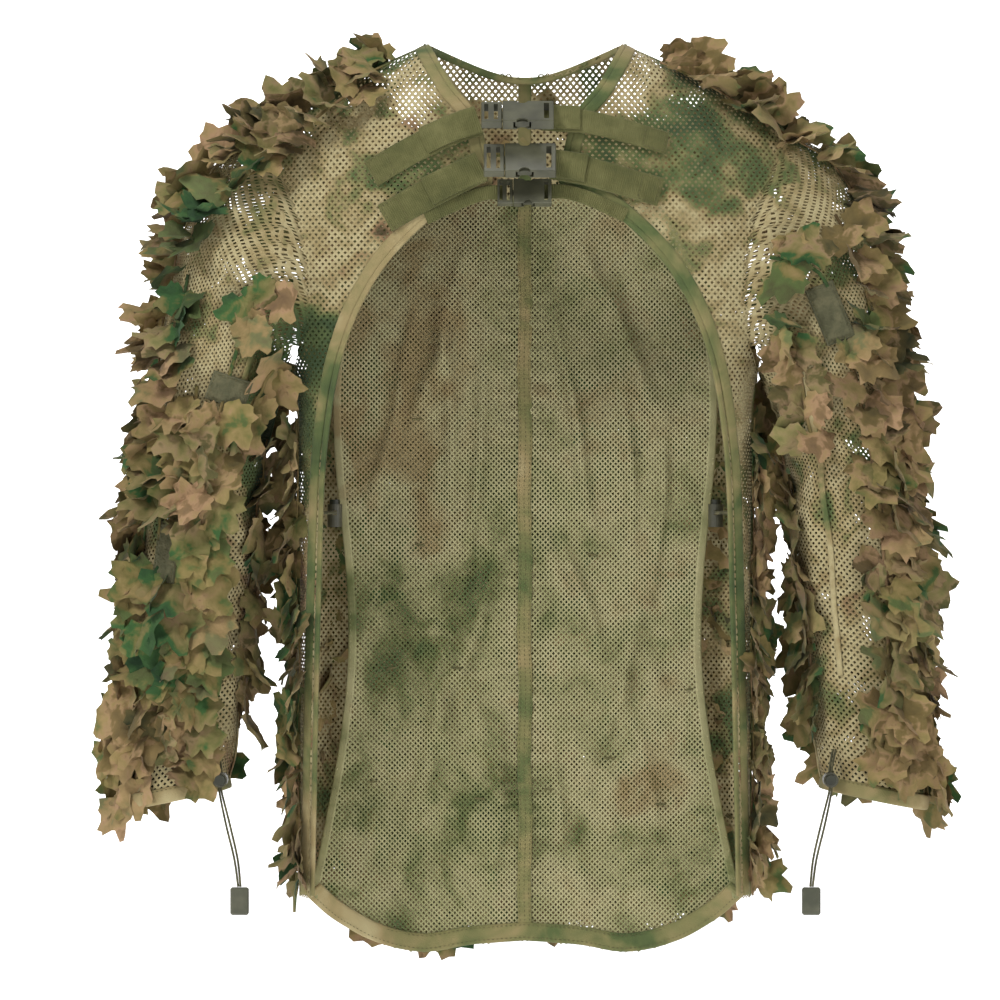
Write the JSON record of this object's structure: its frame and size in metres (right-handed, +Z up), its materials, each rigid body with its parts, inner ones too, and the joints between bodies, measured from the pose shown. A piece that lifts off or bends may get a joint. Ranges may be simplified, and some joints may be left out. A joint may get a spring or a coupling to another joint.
{
  "type": "ghillie jacket",
  "caption": "Open-front ghillie jacket of camouflage mesh with leaf garlands, side-release chest buckles, a fine mesh back lining and cord locks.",
  "frame": {"origin": "middle of the back of the neckline, where the jacket hangs from a neck or a hanger", "axes": "+X to the right seen from the front, +Y towards the back, +Z up"},
  "size_m": [0.7438, 0.2414, 0.8297],
  "materials": {
    "coarse_mesh": "open knitted camouflage mesh",
    "fine_mesh": "fine tan mesh lining",
    "binding": "folded woven binding",
    "webbing": "ribbed olive webbing",
    "leaf_cloth": "printed cut leaf cloth",
    "buckle_plastic": "moulded grey-green plastic",
    "cord": "braided elastic cord",
    "spring_steel": "drawn wire",
    "patch": "hook-and-loop pile"
  },
  "bodies": {
    "jacket": {"front_panel_left": "coarse_mesh", "back_panel_left": "coarse_mesh", "sleeve_left": "coarse_mesh", "lining_left": "fine_mesh", "front_binding_left": "binding", "cuff_band_left": "binding", "upper_strap_left": "webbing", "lower_strap_left": "webbing", "small_strap_left": "webbing", "sleeve_garland_left": "leaf_cloth", "side_garland_left": "leaf_cloth", "side_cord_left": "cord", "cuff_cord_left": "cord", "cuff_cord_tab_left": "buckle_plastic", "side_lock_left_barrel": "buckle_plastic", "side_lock_left_spring": "spring_steel", "cuff_lock_left_barrel": "buckle_plastic", "cuff_lock_left_spring": "spring_steel", "front_panel_right": "coarse_mesh", "back_panel_right": "coarse_mesh", "sleeve_right": "coarse_mesh", "lining_right": "fine_mesh", "front_binding_right": "binding", "cuff_band_right": "binding", "upper_strap_right": "webbing", "lower_strap_right": "webbing", "small_strap_right": "webbing", "sleeve_garland_right": "leaf_cloth", "side_garland_right": "leaf_cloth", "side_cord_right": "cord", "cuff_cord_right": "cord", "cuff_cord_tab_right": "buckle_plastic", "side_lock_right_barrel": "buckle_plastic", "side_lock_right_spring": "spring_steel", "cuff_lock_right_barrel": "buckle_plastic", "cuff_lock_right_spring": "spring_steel", "centre_seam_tape": "binding", "hem_band": "binding", "collar_binding": "binding", "back_garland": "leaf_cloth", "sleeve_patch_upper_left": "patch", "sleeve_patch_lower_left": "patch", "sleeve_patch_upper_right": "patch", "upper_buckle_socket": "buckle_plastic", "upper_buckle_plug": "buckle_plastic", "middle_buckle_socket": "buckle_plastic", "middle_buckle_plug": "buckle_plastic", "small_buckle_socket": "buckle_plastic", "small_buckle_plug": "buckle_plastic"},
    "upper_buckle_upper_prong": {"upper_buckle_upper_prong": "buckle_plastic"},
    "upper_buckle_lower_prong": {"upper_buckle_lower_prong": "buckle_plastic"},
    "middle_buckle_upper_prong": {"middle_buckle_upper_prong": "buckle_plastic"},
    "middle_buckle_lower_prong": {"middle_buckle_lower_prong": "buckle_plastic"},
    "small_buckle_upper_prong": {"small_buckle_upper_prong": "buckle_plastic"},
    "small_buckle_lower_prong": {"small_buckle_lower_prong": "buckle_plastic"},
    "side_lock_left_plunger": {"side_lock_left_plunger": "buckle_plastic"},
    "cuff_lock_left_plunger": {"cuff_lock_left_plunger": "buckle_plastic"},
    "side_lock_right_plunger": {"side_lock_right_plunger": "buckle_plastic"},
    "cuff_lock_right_plunger": {"cuff_lock_right_plunger": "buckle_plastic"}
  },
  "joints": [
    {"name": "upper_buckle_upper_prong_squeeze", "type": "hinge", "parent": "jacket", "child": "upper_buckle_upper_prong", "pos_m": [-0.01962, -0.16675, -0.03695], "axis": [0, 0.5736, -0.8192], "range_deg": [0, 7], "stiffness_Nm_per_rad": 0.4},
    {"name": "upper_buckle_lower_prong_squeeze", "type": "hinge", "parent": "jacket", "child": "upper_buckle_lower_prong", "pos_m": [-0.01962, -0.18116, -0.04705], "axis": [0, -0.5736, 0.8192], "range_deg": [0, 7], "stiffness_Nm_per_rad": 0.4},
    {"name": "middle_buckle_upper_prong_squeeze", "type": "hinge", "parent": "jacket", "child": "middle_buckle_upper_prong", "pos_m": [-0.01762, -0.1723, -0.07426], "axis": [0, 0.766, -0.6428], "range_deg": [0, 7], "stiffness_Nm_per_rad": 0.4},
    {"name": "middle_buckle_lower_prong_squeeze", "type": "hinge", "parent": "jacket", "child": "middle_buckle_lower_prong", "pos_m": [-0.01762, -0.18361, -0.08774], "axis": [0, -0.766, 0.6428], "range_deg": [0, 7], "stiffness_Nm_per_rad": 0.4},
    {"name": "small_buckle_upper_prong_squeeze", "type": "hinge", "parent": "jacket", "child": "small_buckle_upper_prong", "pos_m": [-0.01036, -0.16316, -0.10228], "axis": [0, 0.866, -0.5], "range_deg": [0, 7], "stiffness_Nm_per_rad": 0.4},
    {"name": "small_buckle_lower_prong_squeeze", "type": "hinge", "parent": "jacket", "child": "small_buckle_lower_prong", "pos_m": [-0.01036, -0.16976, -0.11372], "axis": [0, -0.866, 0.5], "range_deg": [0, 7], "stiffness_Nm_per_rad": 0.4},
    {"name": "side_lock_left_press", "type": "slide", "parent": "jacket", "child": "side_lock_left_plunger", "axis": [0, 0, -1], "range_m": [0, 0.003], "stiffness_N_per_m": 300, "deforming": ["side_lock_left_spring"]},
    {"name": "cuff_lock_left_press", "type": "slide", "parent": "jacket", "child": "cuff_lock_left_plunger", "axis": [0, 1, 0], "range_m": [0, 0.003], "stiffness_N_per_m": 300, "deforming": ["cuff_lock_left_spring"]},
    {"name": "side_lock_right_press", "type": "slide", "parent": "jacket", "child": "side_lock_right_plunger", "axis": [0, 0, -1], "range_m": [0, 0.003], "stiffness_N_per_m": 300, "deforming": ["side_lock_right_spring"]},
    {"name": "cuff_lock_right_press", "type": "slide", "parent": "jacket", "child": "cuff_lock_right_plunger", "axis": [0, 1, 0], "range_m": [0, 0.003], "stiffness_N_per_m": 300, "deforming": ["cuff_lock_right_spring"]}
  ],
  "couplings": [
    {"joint": "upper_buckle_lower_prong_squeeze", "follows": "upper_buckle_upper_prong_squeeze", "ratio": 1},
    {"joint": "middle_buckle_lower_prong_squeeze", "follows": "middle_buckle_upper_prong_squeeze", "ratio": 1},
    {"joint": "small_buckle_lower_prong_squeeze", "follows": "small_buckle_upper_prong_squeeze", "ratio": 1}
  ]
}
